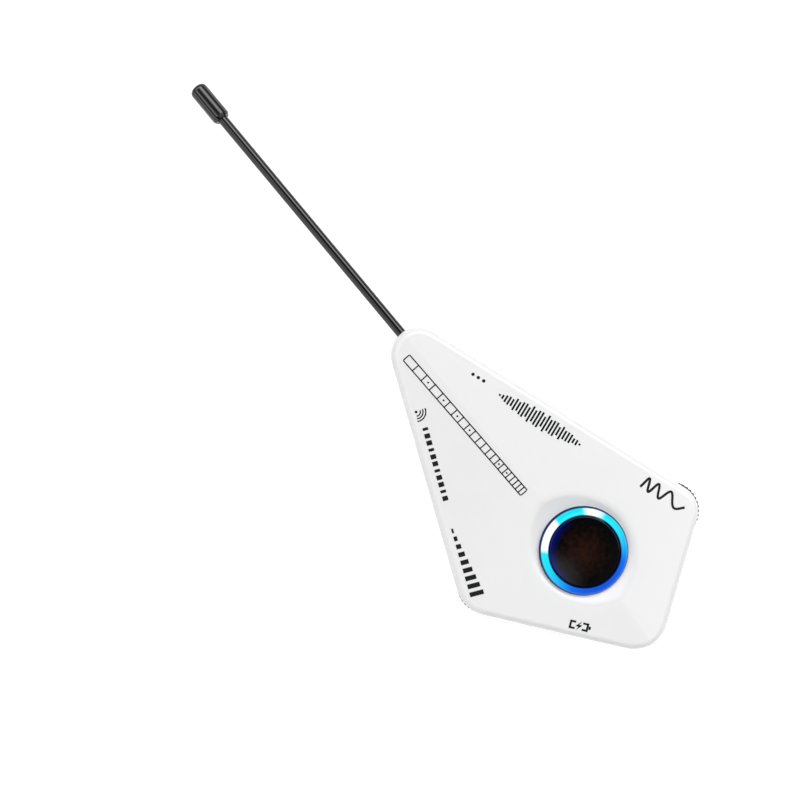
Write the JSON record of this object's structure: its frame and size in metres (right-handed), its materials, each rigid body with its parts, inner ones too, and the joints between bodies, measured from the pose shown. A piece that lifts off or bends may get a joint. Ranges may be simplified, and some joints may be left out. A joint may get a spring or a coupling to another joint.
{
  "type": "wireless guitar transmitter",
  "caption": "Low kite-shaped wireless transmitter that sticks to a guitar, with a whip antenna, a power button in a light ring and volume and tone thumbwheels.",
  "frame": {"origin": "on the stick-on underside, directly under the axis of the power button", "axes": "+Z out of the guitar, through the button; +Y along the roof ridge to the antenna tip; +X towards the tone wheel"},
  "size_m": [0.0599, 0.1737, 0.014],
  "materials": {
    "case_gloss": "white gloss ABS",
    "case_satin": "white ABS, slightly satin",
    "pad_gel": "grey reusable gel pad",
    "ring_blue": "clear blue light guide, lit from below",
    "reflector_white": "matt white",
    "led_lens": "phosphor lens",
    "button_black": "piano black",
    "switch_black": "moulded",
    "steel": "stamped",
    "tinned_steel": "tinned",
    "board_green": "solder mask",
    "chip_black": "moulded epoxy",
    "ferrite": "ferrite",
    "capacitor_tan": "fired",
    "resistor_black": "glazed",
    "cell_pouch": "laminated foil",
    "foam_tape": "foam",
    "lead_red": "insulated wire",
    "lead_black": "insulated wire",
    "connector_ivory": "nylon",
    "tongue_black": "moulded",
    "wheel_grey": "fluted, satin",
    "pot_black": "moulded",
    "brass": "turned",
    "piezo_white": "fired, silvered",
    "antenna_black": "glossy black",
    "contact_gold": "gold flash",
    "screw_steel": "zinc plated"
  },
  "bodies": {
    "case": {"adhesive_pad": "pad_gel", "antenna_base": "brass", "antenna_cap": "antenna_black", "antenna_contact": "contact_gold", "antenna_core": "steel", "antenna_rod": "antenna_black", "battery_cell": "cell_pouch", "battery_lead_negative": "lead_black", "battery_lead_positive": "lead_red", "battery_plug": "connector_ivory", "battery_socket": "connector_ivory", "battery_tape": "foam_tape", "board_capacitors": "capacitor_tan", "board_resistors": "resistor_black", "board_screws": "screw_steel", "case_inserts": "brass", "case_screws": "screw_steel", "charger_chip": "chip_black", "codec_chip": "chip_black", "controller_chip": "chip_black", "crystal": "tinned_steel", "light_ring": "ring_blue", "main_board": "board_green", "piezo_ceramic": "piezo_white", "piezo_lead_ground": "lead_black", "piezo_lead_signal": "lead_red", "piezo_plate": "brass", "power_inductor": "ferrite", "rear_cover": "case_satin", "ring_leds": "led_lens", "ring_reflector": "reflector_white", "shield_can": "tinned_steel", "switch_body": "switch_black", "switch_dome": "steel", "switch_plate": "steel", "tone_pot": "pot_black", "top_cover": "case_gloss", "usb_shell": "steel", "usb_tongue": "tongue_black", "volume_pot": "pot_black"},
    "power_button": {"button_cap": "button_black", "switch_plunger": "switch_black"},
    "volume_control": {"volume_wheel": "wheel_grey", "volume_rotor": "brass", "volume_wheel_screw": "screw_steel"},
    "tone_control": {"tone_wheel": "wheel_grey", "tone_rotor": "brass", "tone_wheel_screw": "screw_steel"}
  },
  "joints": [
    {"name": "button_press", "type": "slide", "parent": "case", "child": "power_button", "axis": [0, 0, -1], "range_m": [0, 0.0004], "stiffness_N_per_m": 1500, "deforming": ["switch_dome"]},
    {"name": "volume_turn", "type": "hinge", "parent": "case", "child": "volume_control", "pos_m": [-0.02331, 0.00797, 0.0062], "axis": [0, 0, 1], "range_deg": [-140, 140]},
    {"name": "tone_turn", "type": "hinge", "parent": "case", "child": "tone_control", "pos_m": [0.02258, -0.00689, 0.0062], "axis": [0, 0, 1], "range_deg": [-140, 140]}
  ]
}
